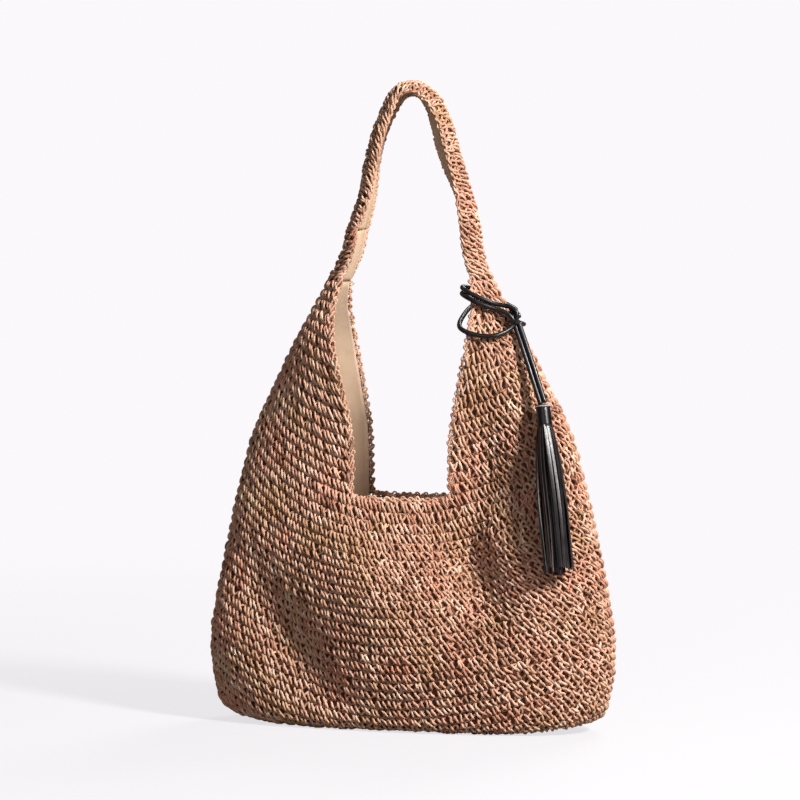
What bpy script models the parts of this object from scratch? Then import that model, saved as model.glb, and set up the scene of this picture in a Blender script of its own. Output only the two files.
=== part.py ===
"""A hand-crocheted hobo bag with a cotton lining and a leather tassel.

The body is an oval base, a wall worked up from it in rounds, and two wings that narrow into one
shoulder strap. The strap is a channel: a flat crocheted band whose long edges curl towards the
lining. A leather thong is hitched round the right wing and carries a tassel.

X is the bag's width, -Y its front and Z is up. The origin is on the floor, under the middle of
the base. Lengths are in metres.
"""

import math

import bmesh
import bpy
import numpy as np
from mathutils import Matrix, Vector

# Fabric
CROCHET = 0.0045
LINING = 0.0009
LAYER_GAP = 0.0006
SEAM_GAP = 0.0005
ROOT_GAP = 0.0024
EDGING_RADIUS = 0.0027

# Body: (height, size) stations of the wall's outer face
HALF_WIDTH = ((0.000, 0.1990), (0.040, 0.2065), (0.090, 0.2080), (0.130, 0.2030), (0.180, 0.1935),
              (0.235, 0.1815), (0.300, 0.1625), (0.345, 0.1395), (0.390, 0.1160), (0.420, 0.0990),
              (0.445, 0.0860), (0.470, 0.0790), (0.495, 0.0700))
HALF_DEPTH = ((0.000, 0.0640), (0.060, 0.0680), (0.120, 0.0640), (0.180, 0.0510), (0.235, 0.0375),
              (0.290, 0.0370), (0.330, 0.0410), (0.370, 0.0470), (0.400, 0.0450), (0.425, 0.0350),
              (0.445, 0.0275), (0.470, 0.0250), (0.495, 0.0240))
MOUTH_HALF_WIDTH = ((0.2265, 0.0520), (0.300, 0.0545), (0.335, 0.0615), (0.370, 0.0690),
                    (0.400, 0.0730), (0.425, 0.0735), (0.445, 0.0695), (0.470, 0.0625), (0.495, 0.0560))
SQUARENESS = 2.25
CORNER = 0.016
END_LIFT = 0.015
MOUTH_BOTTOM = 0.2265
WING_TOP = 0.445

# Strap: the outer face's line from its right root over the top to its left root, as (x, z), the
# channel's half width at the top and at the roots, and how deep its front and back edges curl in,
# as (share of the way from the right root to the left one, depth)
STRAP_LINE = ((0.0725, 0.4955), (0.0635, 0.530), (0.0535, 0.565), (0.0435, 0.600), (0.0300, 0.6270),
              (0.0080, 0.6430), (-0.0160, 0.6370), (-0.0300, 0.6130), (-0.0410, 0.585), (-0.0470, 0.560),
              (-0.0515, 0.535), (-0.0575, 0.515), (-0.0650, 0.4955))
STRAP_HALF_WIDTH = (0.0175, 0.0205)
FRONT_CURL = ((0.00, 0.0145), (0.12, 0.0110), (0.30, 0.0100), (0.50, 0.0120), (0.70, 0.0160),
              (0.88, 0.0155), (1.00, 0.0145))
BACK_CURL = ((0.00, 0.0145), (0.12, 0.0200), (0.28, 0.0255), (0.40, 0.0205), (0.50, 0.0135),
             (0.62, 0.0095), (0.88, 0.0105), (1.00, 0.0145))
STRAP_AXIS = Vector((0.0, 0.0, 0.470))
STRAP_EDGING_RADIUS = 0.0016

# Thong and tassel
CORD_RADIUS = 0.0024
LOOP_OUTSET = 0.0069
LOOP_INNER_X = 0.0560
THONG_AXIS = Vector((0.1110, -0.0170, 0.4000))
KNOT = Vector((0.1110, -0.0170, 0.4100))
CAP_TOP = Vector((0.1440, -0.0335, 0.3230))
TILT_RIGHT = math.radians(8.4)
TILT_FORWARD = math.radians(9.1)
CAP_RADIUS = 0.0070
CAP_HEIGHT = 0.0240
SKIRT_RADIUS = 0.0165
SKIRT_HEIGHT = 0.1420

# Inside the bag
POUCH = (0.170, 0.0030, 0.105)
POUCH_CENTRE = Vector((0.0, 0.0290, 0.140))
ZIP_LENGTH = 0.140
SLIP_POCKET = (0.150, 0.0018, 0.090)
SLIP_POCKET_CENTRE = Vector((0.0, -0.0300, 0.118))
SNAP_Z = 0.2060
SNAP_RADIUS = 0.0090

COLUMNS = 6
MOUTH_COLUMNS = 4

COLOURS = {
    "straw": ((0.42, 0.25, 0.16, 1), 0.75, 0.0),
    "cotton": ((0.60, 0.49, 0.37, 1), 0.85, 0.0),
    "black leather": ((0.018, 0.015, 0.015, 1), 0.38, 0.0),
    "waxed thread": ((0.45, 0.43, 0.42, 1), 0.60, 0.0),
    "antique brass": ((0.42, 0.31, 0.16, 1), 0.35, 1.0),
}


def material(name):
    if name in bpy.data.materials:
        return bpy.data.materials[name]
    colour, roughness, metallic = COLOURS[name]
    mat = bpy.data.materials.new(name)
    mat.use_nodes = True
    shader = mat.node_tree.nodes["Principled BSDF"]
    shader.inputs["Base Color"].default_value = colour
    shader.inputs["Roughness"].default_value = roughness
    shader.inputs["Metallic"].default_value = metallic
    return mat


def add(name, mesh, mat):
    obj = bpy.data.objects.new(name, mesh)
    mesh.materials.append(material(mat))
    bpy.context.scene.collection.objects.link(obj)
    return obj


def at(stations, where):
    """The size at a height, on a smooth curve through the stations."""
    places = np.array([s[0] for s in stations])
    sizes = np.array([s[1] for s in stations])
    slopes = np.gradient(sizes, places)
    i = int(np.clip(np.searchsorted(places, where) - 1, 0, len(places) - 2))
    span = places[i + 1] - places[i]
    t = float(np.clip((where - places[i]) / span, 0, 1))
    low = (1 + 2 * t) * (1 - t) ** 2 * sizes[i] + t * (1 - t) ** 2 * span * slopes[i]
    high = t * t * (3 - 2 * t) * sizes[i + 1] + t * t * (t - 1) * span * slopes[i + 1]
    return float(low + high)


def power(value, exponent):
    return math.copysign(abs(value) ** exponent, value)


def mouth_angle(z):
    """The section angle, from the side seam, at which the mouth cuts the wall."""
    share = at(MOUTH_HALF_WIDTH, z) / at(HALF_WIDTH, z)
    return math.acos(share ** (SQUARENESS / 2))


def wall_point(z, angle, inset=0.0):
    """A point of the wall's outer face. Angle 0 is the right side, -90 degrees the front."""
    x = (at(HALF_WIDTH, z) - inset) * power(math.cos(angle), 2 / SQUARENESS)
    y = (at(HALF_DEPTH, z) - inset) * power(math.sin(angle), 2 / SQUARENESS)
    lift = END_LIFT * (abs(x) / 0.2) ** 4 * max(0.0, 1 - z / 0.1)
    return Vector((x, y, z + lift))


def column_angles(z):
    """Angles of all columns round the wall, from the front right mouth edge by the right side."""
    edge = mouth_angle(max(z, MOUTH_BOTTOM))
    wing = [edge * (i / COLUMNS) for i in range(-COLUMNS, COLUMNS + 1)]
    free = [edge + (math.pi - 2 * edge) * i / MOUTH_COLUMNS for i in range(1, MOUTH_COLUMNS)]
    return wing + free + [math.pi + a for a in wing] + [math.pi + a for a in free]


def mesh_from_rows(name, rows):
    """An open surface from rows of points of one length."""
    bm = bmesh.new()
    verts = [[bm.verts.new(p) for p in row] for row in rows]
    for low, high in zip(verts, verts[1:]):
        for j in range(len(low) - 1):
            bm.faces.new((low[j], low[j + 1], high[j + 1], high[j]))
    bmesh.ops.triangulate(bm, faces=bm.faces[:])
    mesh = bpy.data.meshes.new(name)
    bm.to_mesh(mesh)
    bm.free()
    return mesh


def sink(mesh, depth):
    """Moves a surface inwards by an even depth."""
    bm = bmesh.new()
    bm.from_mesh(mesh)
    bm.normal_update()
    places = [v.co - v.normal * depth * v.calc_shell_factor() for v in bm.verts]
    for vert, place in zip(bm.verts, places):
        vert.co = place
    bm.to_mesh(mesh)
    bm.free()
    return mesh


def fabric(name, mesh, thickness, mat):
    """A closed fabric shell that grows inwards from the surface."""
    obj = add(name, mesh, mat)
    solidify = obj.modifiers.new("Fabric thickness", "SOLIDIFY")
    solidify.thickness = thickness
    solidify.offset = -1
    solidify.use_even_offset = True
    solidify.use_rim = True
    mesh.shade_smooth()
    return obj


def wall_mesh(name, bottom_rows):
    """The wall with its mouth and both wings, as one surface above the given bottom rows."""
    bm = bmesh.new()
    rows = [[bm.verts.new(p) for p in row] for row in bottom_rows]
    heights = np.linspace(CORNER, MOUTH_BOTTOM, 8)
    for z in heights:
        rows.append([bm.verts.new(wall_point(z, a)) for a in column_angles(z)])
    count = len(rows[0])
    for low, high in zip(rows, rows[1:]):
        for j in range(count):
            k = (j + 1) % count
            bm.faces.new((low[j], low[k], high[k], high[j]))
    half = 2 * COLUMNS + MOUTH_COLUMNS
    for first in (0, half):
        columns = range(first, first + 2 * COLUMNS + 1)
        low = [rows[-1][j] for j in columns]
        for z in np.linspace(MOUTH_BOTTOM, WING_TOP, 9)[1:]:
            angles = column_angles(z)
            high = [bm.verts.new(wall_point(z, angles[j])) for j in columns]
            for j in range(len(columns) - 1):
                bm.faces.new((low[j], low[j + 1], high[j + 1], high[j]))
            low = high
    bmesh.ops.triangulate(bm, faces=bm.faces[:])
    mesh = bpy.data.meshes.new(name)
    bm.to_mesh(mesh)
    bm.free()
    return mesh


def corner_rows():
    """The rounded edge where the wall meets the base, from under the bag outwards."""
    rows = []
    for angle in np.linspace(0, 90, 4)[:-1]:
        turn = math.radians(angle)
        inset = CORNER * (1 - math.sin(turn))
        row = []
        for a in column_angles(CORNER):
            point = wall_point(CORNER, a, inset)
            point.z -= CORNER * math.cos(turn)
            row.append(point)
        rows.append(row)
    return rows


def oval_plate(name, inset, bottom, thickness, mat):
    """A flat-topped oval sheet that follows the base's lifted ends."""
    bm = bmesh.new()
    rim = [wall_point(CORNER, a, inset) for a in column_angles(CORNER)]
    count = len(rim)
    layers = []
    for level in (bottom, bottom + thickness):
        rings = []
        for share in (1.0, 0.66, 0.33):
            ring = []
            for p in rim:
                lift = END_LIFT * (abs(p.x) * share / 0.2) ** 4 * (1 - CORNER / 0.1)
                ring.append(bm.verts.new((p.x * share, p.y * share, level + lift)))
            rings.append(ring)
        middle = bm.verts.new((0, 0, level))
        layers.append((rings, middle))
    for top, (rings, middle) in enumerate(layers):
        faces = []
        for outer, inner in zip(rings, rings[1:]):
            for j in range(count):
                k = (j + 1) % count
                faces.append((outer[j], outer[k], inner[k], inner[j]))
        for j in range(count):
            faces.append((rings[-1][j], rings[-1][(j + 1) % count], middle))
        for face in faces:
            bm.faces.new(face if top else face[::-1])
    low, high = layers[0][0][0], layers[1][0][0]
    for j in range(count):
        k = (j + 1) % count
        bm.faces.new((low[j], low[k], high[k], high[j]))
    bmesh.ops.triangulate(bm, faces=bm.faces[:])
    bmesh.ops.recalc_face_normals(bm, faces=bm.faces[:])
    mesh = bpy.data.meshes.new(name)
    bm.to_mesh(mesh)
    bm.free()
    return add(name, mesh, mat)


def spline_point(points, t):
    """A point on the Catmull-Rom curve through the points, t from 0 to 1."""
    last = len(points) - 1
    i = min(int(t * last), last - 1)
    u = t * last - i
    p1, p2 = Vector(points[i]), Vector(points[i + 1])
    p0 = Vector(points[i - 1]) if i else 2 * p1 - p2
    p3 = Vector(points[i + 2]) if i + 2 <= last else 2 * p2 - p1
    return 0.5 * (2 * p1 + (p2 - p0) * u + (2 * p0 - 5 * p1 + 4 * p2 - p3) * u * u
                  + (3 * p1 - p0 - 3 * p2 + p3) * u ** 3)


def even_points(points, count):
    """Points at even distances along the curve through the given points."""
    fine = [spline_point(points, t) for t in np.linspace(0, 1, 400)]
    steps = [0.0] + [(b - a).length for a, b in zip(fine, fine[1:])]
    run = np.cumsum(steps)
    wanted = np.linspace(0, run[-1], count)
    return [fine[int(np.argmin(np.abs(run - w)))] for w in wanted]


def strap_section(origin, inward, half_width, front_curl, back_curl):
    """The channel's outer face at one place of the strap, from its front edge to its back edge."""
    section = []
    for j in range(-COLUMNS, COLUMNS + 1):
        a = math.pi / 2 * j / COLUMNS
        y = half_width * power(math.sin(a), 2 / SQUARENESS)
        curl = front_curl if j < 0 else back_curl
        section.append(origin + inward * curl * (1 - power(math.cos(a), 2 / SQUARENESS)) + Vector((0, y, 0)))
    return section


def strap_rows():
    """Sections of the strap from the right root over the top to the left root."""
    line = even_points([(x, 0, z) for x, z in STRAP_LINE], 23)
    rows = []
    for i, origin in enumerate(line):
        ahead = line[min(i + 1, len(line) - 1)] - line[max(i - 1, 0)]
        inward = Vector((0, 1, 0)).cross(ahead).normalized()
        inward = -inward if inward.z > 0 else inward
        if i in (0, len(line) - 1):
            inward = Vector((-math.copysign(1, origin.x), 0, 0))
        share = i / (len(line) - 1)
        from_top = abs(2 * share - 1) ** 1.5
        half_width = STRAP_HALF_WIDTH[0] + (STRAP_HALF_WIDTH[1] - STRAP_HALF_WIDTH[0]) * from_top
        rows.append(strap_section(origin, inward, half_width, at(FRONT_CURL, share), at(BACK_CURL, share)))
    return rows


def root_rows(side, strap_end):
    """Sections of a soft root, from the wing's top to the strap's end."""
    low_z = WING_TOP + SEAM_GAP
    high_z = strap_end[0].z - ROOT_GAP
    rows = []
    for z in np.linspace(low_z, high_z, 6):
        share = (z - low_z) / (high_z - low_z)
        angles = column_angles(z)[:2 * COLUMNS + 1]
        row = []
        for j, a in enumerate(angles):
            wing = wall_point(z, a)
            strap = strap_end[j]
            x = (1 - share) * wing.x + share * abs(strap.x)
            y = (1 - share) * wing.y + share * strap.y
            row.append(Vector((side * x, y, z)))
        rows.append(row if side > 0 else row[::-1])
    return rows


def tube(name, points, radius, mat, resolution=2):
    """A round cord through the points, with closed ends."""
    curve = bpy.data.curves.new(name, "CURVE")
    curve.dimensions = "3D"
    curve.bevel_depth = radius
    curve.bevel_resolution = resolution
    curve.use_fill_caps = True
    spline = curve.splines.new("POLY")
    spline.points.add(len(points) - 1)
    for point, place in zip(spline.points, points):
        point.co = (*place, 1)
    obj = bpy.data.objects.new(name, curve)
    curve.materials.append(material(mat))
    bpy.context.scene.collection.objects.link(obj)
    return obj


def rim_point(edge, inner_neighbour, normal):
    """The centre of an edging cord that sits on the rim of crochet and lining."""
    out = (edge - inner_neighbour).normalized()
    middle = (CROCHET + LAYER_GAP + LINING) / 2
    return edge - normal * middle + out * (EDGING_RADIUS + SEAM_GAP)


def mouth_edging(name, front):
    """The edging along the front or back of the mouth, from one wing's top to the other's."""
    sign = -1 if front else 1
    points = []
    for side in (1, -1):
        leg = []
        for z in np.linspace(MOUTH_BOTTOM, WING_TOP - 0.002, 10):
            edge_angle = mouth_angle(z)
            edge = wall_point(z, sign * edge_angle)
            near = wall_point(z, sign * edge_angle * 0.9)
            up = wall_point(z + 0.004, sign * mouth_angle(z + 0.004)) - edge
            normal = up.cross(edge - near).normalized()
            normal = normal if normal.y * sign > 0 else -normal
            place = rim_point(edge, near, normal)
            if z == MOUTH_BOTTOM:
                place.z += EDGING_RADIUS + SEAM_GAP
            leg.append(Vector((side * place.x, place.y, place.z)))
        points.append(leg)
    bottom_y = wall_point(MOUTH_BOTTOM, sign * math.pi / 2).y - sign * (CROCHET + LINING) / 2
    corner = points[0][0]
    across = []
    for share in (0.6, 0.2, -0.2, -0.6):
        y = bottom_y + (corner.y - bottom_y) * share * share
        across.append(Vector((corner.x * share, y, MOUTH_BOTTOM + EDGING_RADIUS + SEAM_GAP)))
    return tube(name, points[0][::-1] + across + points[1], EDGING_RADIUS, "straw")


def strap_edging(name, rows, front):
    """The edging along one long edge of the strap."""
    points = []
    for row in rows:
        edge, near = (row[0], row[1]) if front else (row[-1], row[-2])
        out = Vector((edge.x - near.x, 0, edge.z - near.z)).normalized()
        y = edge.y + (1 if front else -1) * (CROCHET + LINING) / 2
        points.append(Vector((edge.x, y, edge.z)) + out * (STRAP_EDGING_RADIUS + 2.5 * SEAM_GAP))
    return tube(name, points, STRAP_EDGING_RADIUS, "straw")


def block(name, centre, size, mat, round_edges=0.0, segments=2):
    bm = bmesh.new()
    bmesh.ops.create_cube(bm, size=1.0)
    bmesh.ops.scale(bm, vec=Vector(size), verts=bm.verts[:])
    mesh = bpy.data.meshes.new(name)
    bm.to_mesh(mesh)
    bm.free()
    obj = add(name, mesh, mat)
    obj.location = centre
    if round_edges:
        bevel = obj.modifiers.new("Edges", "BEVEL")
        bevel.width = round_edges
        bevel.segments = segments
    return obj


def turned(name, profile, mat, steps=24):
    """A body of revolution about its own Z, from (radius, height) pairs that run top to bottom."""
    bm = bmesh.new()
    verts = [bm.verts.new((r, 0, z)) for r, z in profile]
    for a, b in zip(verts, verts[1:]):
        bm.edges.new((a, b))
    bmesh.ops.spin(bm, geom=bm.verts[:] + bm.edges[:], cent=(0, 0, 0), axis=(0, 0, 1),
                   angle=math.tau, steps=steps, use_merge=True)
    bmesh.ops.remove_doubles(bm, verts=bm.verts[:], dist=1e-6)
    bmesh.ops.recalc_face_normals(bm, faces=bm.faces[:])
    mesh = bpy.data.meshes.new(name)
    bm.to_mesh(mesh)
    bm.free()
    mesh.shade_smooth()
    mesh.set_sharp_from_angle(angle=math.radians(35))
    return add(name, mesh, mat)


def hitch_loop(name, height, start=22):
    """A turn of the thong round the right wing, open where it enters the knot.

    height gives the turn's height from its place: how far in from the wing's outer side, 0 to 1,
    and how far to the back, -1 to 1. start is the angle in degrees where it leaves the knot.
    """
    outer = [("outer", a) for a in np.linspace(-math.radians(start), -mouth_angle(KNOT.z), 7)]
    inner = [("inner", math.radians(a)) for a in np.linspace(-90, 90, 13)[1:-1]]
    back = [("outer", a) for a in np.linspace(mouth_angle(KNOT.z), -math.radians(6), 9)]
    points = []
    for part, angle in outer + inner + back:
        z = KNOT.z
        for _ in range(3):
            half_width = at(HALF_WIDTH, z) + LOOP_OUTSET
            half_depth = at(HALF_DEPTH, z) + LOOP_OUTSET
            edge = mouth_angle(z)
            edge_x = half_width * math.cos(edge) ** (2 / SQUARENESS)
            edge_y = half_depth * math.sin(edge) ** (2 / SQUARENESS)
            if part == "outer":
                x = half_width * power(math.cos(angle), 2 / SQUARENESS)
                y = half_depth * power(math.sin(angle), 2 / SQUARENESS)
            else:
                x = edge_x - (edge_x - LOOP_INNER_X) * power(math.cos(angle), 0.5)
                y = edge_y * power(math.sin(angle), 0.5)
            inwards = (half_width - x) / (half_width - LOOP_INNER_X)
            z = height(inwards, y / edge_y)
        points.append(Vector((x, y, z)))
    return tube(name, points, CORD_RADIUS, "black leather")


def slack_turn(inwards, back):
    """The height of the thong's lowest turn, which sags over the wing's front."""
    sag = 0.0135 * math.sin(math.pi * min(max(inwards, 0), 1)) * (1 - back) / 2
    return 0.4010 + (0.0105 + 0.0130 * back) * inwards - sag


def build_body():
    wall = wall_mesh("wall", corner_rows())
    fabric("crochet_body", wall, CROCHET, "straw")
    inner = wall_mesh("inner wall", corner_rows())
    fabric("lining_body", sink(inner, CROCHET + LAYER_GAP), LINING, "cotton")
    oval_plate("crochet_base", CORNER + 0.0022, 0.0, CROCHET, "straw")
    oval_plate("lining_base", CORNER + 0.0034, CROCHET + LAYER_GAP, LINING, "cotton")
    mouth_edging("edging_mouth_front", True)
    mouth_edging("edging_mouth_back", False)


def pivot_at(name, place):
    """An empty on a joint's axis, for the pieces that move on it."""
    pivot = bpy.data.objects.new(name, None)
    pivot.location = place
    bpy.context.scene.collection.objects.link(pivot)
    return pivot


def hang_on(pivot, pieces):
    """Parents pieces to a pivot and leaves them where they are."""
    for piece in pieces:
        piece.parent = pivot
        piece.matrix_parent_inverse = Matrix.Translation(-pivot.location)


def build_strap():
    rows = strap_rows()
    band = fabric("crochet_strap", mesh_from_rows("strap", rows), CROCHET, "straw")
    inner = sink(mesh_from_rows("inner strap", rows), CROCHET + LAYER_GAP)
    lining = fabric("lining_strap", inner, LINING, "cotton")
    front = strap_edging("edging_strap_front", rows, True)
    back = strap_edging("edging_strap_back", rows, False)
    hang_on(pivot_at("strap_axis", STRAP_AXIS), (band, lining, front, back))
    for name, side, end in (("strap_root_right", 1, rows[0]), ("strap_root_left", -1, rows[-1])):
        mesh = mesh_from_rows(name, root_rows(side, end))
        fabric(name, mesh, CROCHET, "straw")


def build_inside():
    x, y, z = POUCH_CENTRE
    top = z + POUCH[2] / 2
    block("zip_pouch", POUCH_CENTRE, POUCH, "cotton", 0.001)
    face = y - POUCH[1] / 2
    zip_z = top - 0.020
    tape = (ZIP_LENGTH, 0.0008, 0.011)
    for name, side in (("zip_tape_upper", 1), ("zip_tape_lower", -1)):
        centre = Vector((x, face - 0.0007, zip_z + side * 0.0075))
        block(name, centre, tape, "cotton")
    coil_size = (ZIP_LENGTH, 0.0018, 0.0034)
    block("zip_coil", Vector((x, face - 0.0012, zip_z)), coil_size, "antique brass", 0.0004)
    slider_at = Vector((x - ZIP_LENGTH / 2 + 0.008, face - 0.0042, zip_z))
    block("zip_slider", slider_at, (0.0100, 0.0036, 0.0080), "antique brass", 0.0008)
    pull_at = slider_at + Vector((0, -0.0030, -0.0150))
    pull = block("zip_pull", pull_at, (0.0060, 0.0014, 0.0240), "antique brass", 0.0004)
    hang_on(pivot_at("zip_pull_axis", slider_at), (pull,))
    block("slip_pocket", SLIP_POCKET_CENTRE, SLIP_POCKET, "cotton", 0.0006)
    build_snap()


def build_snap():
    """The two halves of the magnetic snap, each on its own tab under the mouth's edge."""
    for sign, name in ((-1, "front"), (1, "back")):
        wall_y = sign * (at(HALF_DEPTH, SNAP_Z) - CROCHET - LAYER_GAP - LINING)
        tab_y = wall_y - sign * 0.0045
        block(f"snap_tab_{name}", Vector((0, tab_y, SNAP_Z)), (0.028, 0.0014, 0.026), "cotton", 0.0004)
        profile = [(0.0, 0.0034), (SNAP_RADIUS, 0.0034), (SNAP_RADIUS, 0.0), (0.0, 0.0)]
        if name == "front":
            profile = [(0.0, 0.0058), (0.0030, 0.0058), (0.0030, 0.0030), (SNAP_RADIUS, 0.0030),
                       (SNAP_RADIUS, 0.0), (0.0, 0.0)]
        else:
            profile = [(0.0, 0.0008), (0.0034, 0.0008), (0.0034, 0.0036), (SNAP_RADIUS, 0.0036),
                       (SNAP_RADIUS, 0.0), (0.0, 0.0)]
        disc = turned("snap_stud" if name == "front" else "snap_socket", profile, "antique brass")
        facing = Matrix.Rotation(math.radians(90 * sign), 4, "X")
        disc.matrix_world = Matrix.Translation((0, tab_y - sign * 0.0010, SNAP_Z)) @ facing


def build_tassel():
    """The thong's two strands and the tassel, hung from the knot."""
    hitch_loop("thong_loop_upper", lambda inwards, back: 0.4155 + 0.0230 * inwards)
    hitch_loop("thong_loop_middle", lambda inwards, back: 0.4096 + 0.0230 * inwards, 27)
    hitch_loop("thong_loop_lower", slack_turn)
    profile = [(0.0, 0.009), (0.0045, 0.007), (0.0060, 0.0), (0.0045, -0.008), (0.0, -0.010)]
    knot = turned("thong_knot", profile, "black leather", 16)
    knot.location = KNOT
    run = CAP_TOP - KNOT
    across = Vector((run.z, 0, -run.x)).normalized()
    strands = []
    for name, side in (("thong_strand_left", 1), ("thong_strand_right", -1)):
        bow = Vector((0.004, -0.002, 0))
        ends = [KNOT + run * 0.17, KNOT + run * 0.5 + bow, CAP_TOP + Vector((0, 0, 0.0034))]
        points = [p + across * side * (CORD_RADIUS + 0.0002) for p in even_points(ends, 14)]
        strands.append(tube(name, points, CORD_RADIUS, "black leather"))
    hang_on(pivot_at("thong_axis", THONG_AXIS), strands)
    hang = pivot_at("tassel_axis", CAP_TOP)
    hang.rotation_euler = (-TILT_FORWARD, -TILT_RIGHT, 0)
    cap = turned("tassel_cap", [(0.0, 0.0), (CAP_RADIUS - 0.001, 0.0), (CAP_RADIUS, -0.001),
                                (CAP_RADIUS + 0.0006, -CAP_HEIGHT), (0.0, -CAP_HEIGHT)], "black leather")
    band_low, band_high = -0.0030, -0.0012
    band_in = CAP_RADIUS + 0.0005
    band = turned("tassel_thread", [(band_in, band_high), (band_in + 0.0010, band_high),
                                    (band_in + 0.0010, band_low), (band_in, band_low), (band_in, band_high)],
                  "waxed thread")
    low = -CAP_HEIGHT - 0.0004
    end = low - SKIRT_HEIGHT
    profile = [(0.0, low), (0.0080, low), (0.0135, low - 0.020), (SKIRT_RADIUS, low - 0.080),
               (SKIRT_RADIUS, end + 0.006), (0.0130, end), (0.0, end)]
    skirt = turned("tassel_skirt", profile, "black leather")
    for piece in (cap, band, skirt):
        piece.parent = hang


for old in list(bpy.data.objects):
    bpy.data.objects.remove(old)
build_body()
build_strap()
build_inside()
build_tassel()
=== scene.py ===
"""The looks of a hand-crocheted hobo bag: its yarn stitch by stitch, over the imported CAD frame."""

from contextlib import contextmanager
from math import ceil, cos, pi, radians, sin, sqrt, tau

import bmesh
import bpy
import numpy as np
from mathutils import Euler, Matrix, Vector


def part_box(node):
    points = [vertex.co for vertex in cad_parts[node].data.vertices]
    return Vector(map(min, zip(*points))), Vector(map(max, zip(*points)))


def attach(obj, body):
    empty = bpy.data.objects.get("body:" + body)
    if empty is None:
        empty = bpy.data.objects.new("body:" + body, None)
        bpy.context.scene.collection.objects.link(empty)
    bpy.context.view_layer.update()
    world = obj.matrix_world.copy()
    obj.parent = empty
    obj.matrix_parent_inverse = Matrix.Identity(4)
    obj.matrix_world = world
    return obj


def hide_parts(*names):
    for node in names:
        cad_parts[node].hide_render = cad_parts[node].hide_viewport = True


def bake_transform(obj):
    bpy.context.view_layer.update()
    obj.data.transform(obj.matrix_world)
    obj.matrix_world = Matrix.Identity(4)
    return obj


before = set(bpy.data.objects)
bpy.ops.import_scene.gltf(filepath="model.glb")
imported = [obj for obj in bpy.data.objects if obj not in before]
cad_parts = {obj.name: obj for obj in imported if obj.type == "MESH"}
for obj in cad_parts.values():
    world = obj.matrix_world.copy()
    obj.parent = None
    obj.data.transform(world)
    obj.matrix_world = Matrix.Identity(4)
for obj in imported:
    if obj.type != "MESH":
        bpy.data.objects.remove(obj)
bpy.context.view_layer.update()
rng = np.random.default_rng(7)
scene = bpy.context.scene

# ---- shape, repeated from the CAD source

HALF_WIDTH = ((0.000, 0.199), (0.04, 0.2065), (0.09, 0.208), (0.13, 0.203), (0.18, 0.1935),
              (0.235, 0.1815), (0.3, 0.1625), (0.345, 0.1395), (0.39, 0.116), (0.42, 0.099),
              (0.445, 0.086), (0.47, 0.079), (0.495, 0.07))
HALF_DEPTH = ((0.000, 0.064), (0.06, 0.068), (0.12, 0.064), (0.18, 0.051), (0.235, 0.0375),
              (0.29, 0.037), (0.33, 0.041), (0.37, 0.047), (0.4, 0.045), (0.425, 0.035),
              (0.445, 0.0275), (0.47, 0.025), (0.495, 0.024))
MOUTH_HALF_WIDTH = ((0.2265, 0.052), (0.3, 0.0545), (0.335, 0.0615), (0.37, 0.069),
                    (0.4, 0.073), (0.425, 0.0735), (0.445, 0.0695), (0.47, 0.0625), (0.495, 0.056))
# the bag's sections are superellipses of this power, drawn with cosines and sines raised to BEND
SQUARENESS = 2.25
BEND = 2 / SQUARENESS
CORNER = 0.016
CORNER_RUN = CORNER * pi / 2
END_LIFT = 0.015
MOUTH_BOTTOM = 0.2265
WING_TOP = 0.4455
STRAP_LINE = ((0.0725, 0.4955), (0.0635, 0.53), (0.0535, 0.565), (0.0435, 0.6), (0.03, 0.627),
              (0.008, 0.643), (-0.016, 0.637), (-0.03, 0.613), (-0.041, 0.585), (-0.047, 0.56),
              (-0.0515, 0.535), (-0.0575, 0.515), (-0.065, 0.4955))
STRAP_HALF_WIDTH = (0.0175, 0.0205)
FRONT_CURL = ((0.00, 0.0145), (0.12, 0.011), (0.3, 0.01), (0.5, 0.012), (0.7, 0.016),
              (0.88, 0.0155), (1.00, 0.0145))
BACK_CURL = ((0.00, 0.0145), (0.12, 0.02), (0.28, 0.0255), (0.4, 0.0205), (0.5, 0.0135),
             (0.62, 0.0095), (0.88, 0.0105), (1.00, 0.0145))
STRAP_LOW = 0.4955
STRAP_MIDDLE = (0.0, 0.0, 0.53)

CORD_RADIUS = 0.0024
LOOP_OUTSET = 0.0069
LOOP_INNER_X = 0.056
KNOT = np.array([0.111, -0.017, 0.41])
CAP_TOP = np.array([0.144, -0.0335, 0.323])
TASSEL_TURN = np.array(Euler((-radians(9.1), -radians(8.4), 0)).to_matrix())
CAP_RADIUS = 0.007
CAP_HEIGHT = 0.024
SKIRT_HEIGHT = 0.142
# each layer's strips, and its radius at the cap and at the end
SKIRT_LAYERS = ((15, 0.0066, 0.0155), (12, 0.0046, 0.0105), (7, 0.0024, 0.0055))

POUCH = (0.17, 0.0026, 0.105)
POUCH_CENTRE = (0.0, 0.029, 0.14)
POCKET = (0.15, 0.0014, 0.09)
POCKET_CENTRE = (0.0, -0.03, 0.118)
ZIP_LENGTH = 0.14

# ---- crochet

YARN = 0.00132
YARN_INSET = 0.0014
YARN_POINTS = 7
TWIST_LENGTH = 0.006
STITCH = 0.01
ROUND_STITCHES = 88
ROUND_POINTS = 721
WING_POINTS = 161
BASE_POINTS = 361
FULL_ROUNDS = 32
WING_ROWS = 17
FIRST_RUN = 0.0075
LAST_ROUND_RUN = 0.3156
EDGE_YARN = 0.0012
EDGE_INSET = 0.0018
EDGE_STITCH = 0.0088
EDGE_REACH = 0.0034
EDGE_OVERLAP = 0.0034
HEM_STITCH = 0.008
HEM_REACH = 0.0012
# how much lower a row runs at the middle of the front and back than at the sides, by its run at the side
SMILE = ((FIRST_RUN, 0.058), (0.1, 0.062), (0.2, 0.07), (LAST_ROUND_RUN, 0.08), (0.36, 0.064),
         (0.4, 0.04), (0.4546, 0.003))
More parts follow.
